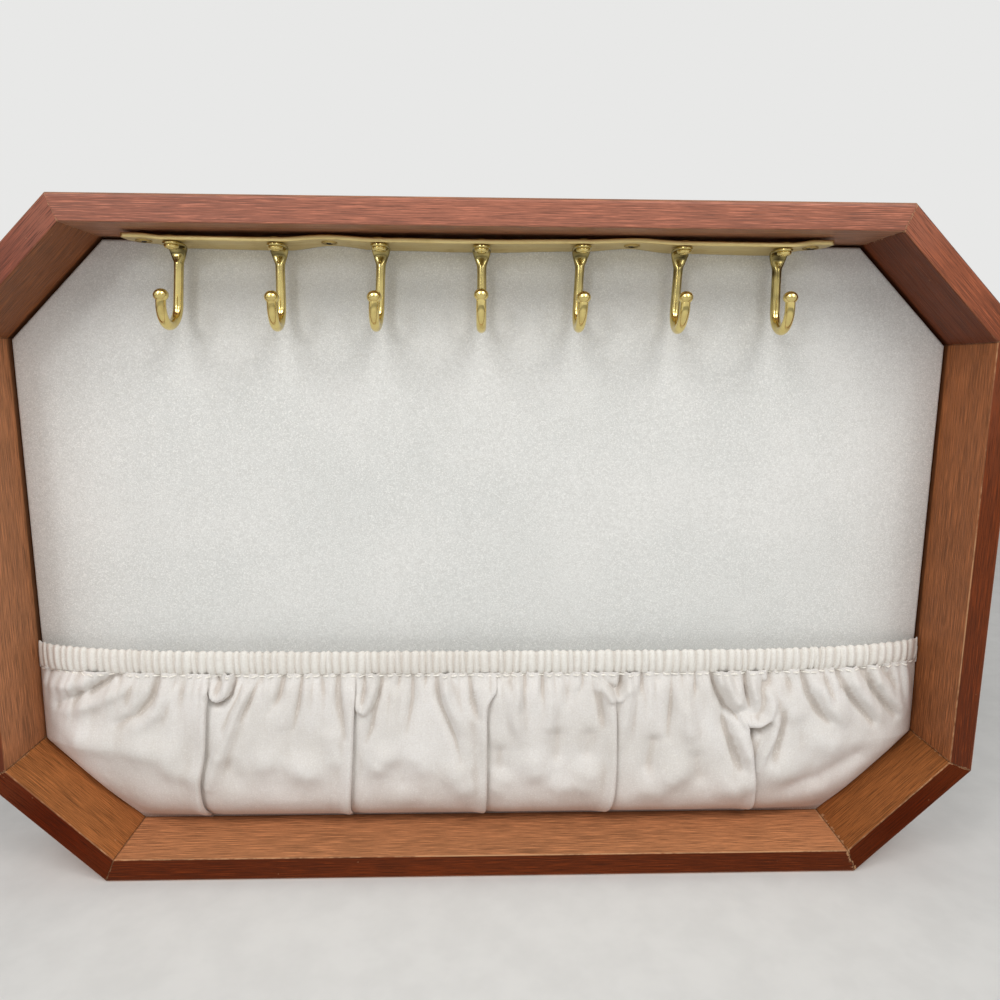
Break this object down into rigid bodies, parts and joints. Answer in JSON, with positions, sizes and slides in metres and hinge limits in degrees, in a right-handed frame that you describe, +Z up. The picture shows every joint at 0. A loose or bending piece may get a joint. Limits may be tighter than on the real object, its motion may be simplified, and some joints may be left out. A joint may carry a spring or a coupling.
{
  "type": "wooden jewelry case",
  "caption": "Open eight-sided wooden jewellery case with a brass strip of ball-ended hooks under its top rail and a gathered elastic pocket along the floor.",
  "frame": {"origin": "middle of the underside of the bottom rail, half way through the case's depth", "axes": "+Z up, open front towards -Y, +X to the right as seen from the front"},
  "size_m": [0.337, 0.0332, 0.225],
  "materials": {
    "case_wood": "cherry stain under satin lacquer",
    "panel_wood": "plain stained plywood",
    "board": "raw hardboard",
    "felt": "short-nap felt",
    "cloth": "thin brushed cloth",
    "elastic": "woven elastic",
    "strip_brass": "satin",
    "hook_brass": "polished",
    "aged_brass": "dull",
    "steel": "bright wire"
  },
  "bodies": {
    "root": {"bottom_rail": "case_wood", "lower_right_corner": "case_wood", "right_stile": "case_wood", "upper_right_corner": "case_wood", "top_rail": "case_wood", "upper_left_corner": "case_wood", "left_stile": "case_wood", "lower_left_corner": "case_wood", "back_panel": "panel_wood", "panel_pins": "steel", "liner_board": "board", "liner_felt": "felt", "hook_strip": "strip_brass", "strip_screws": "aged_brass", "hook_rivets": "hook_brass", "hook_1": "hook_brass", "hook_2": "hook_brass", "hook_3": "hook_brass", "hook_4": "hook_brass", "hook_5": "hook_brass", "hook_6": "hook_brass", "hook_7": "hook_brass", "pocket_cloth": "cloth", "pocket_casing": "cloth", "elastic_band": "elastic"}
  },
  "joints": []
}
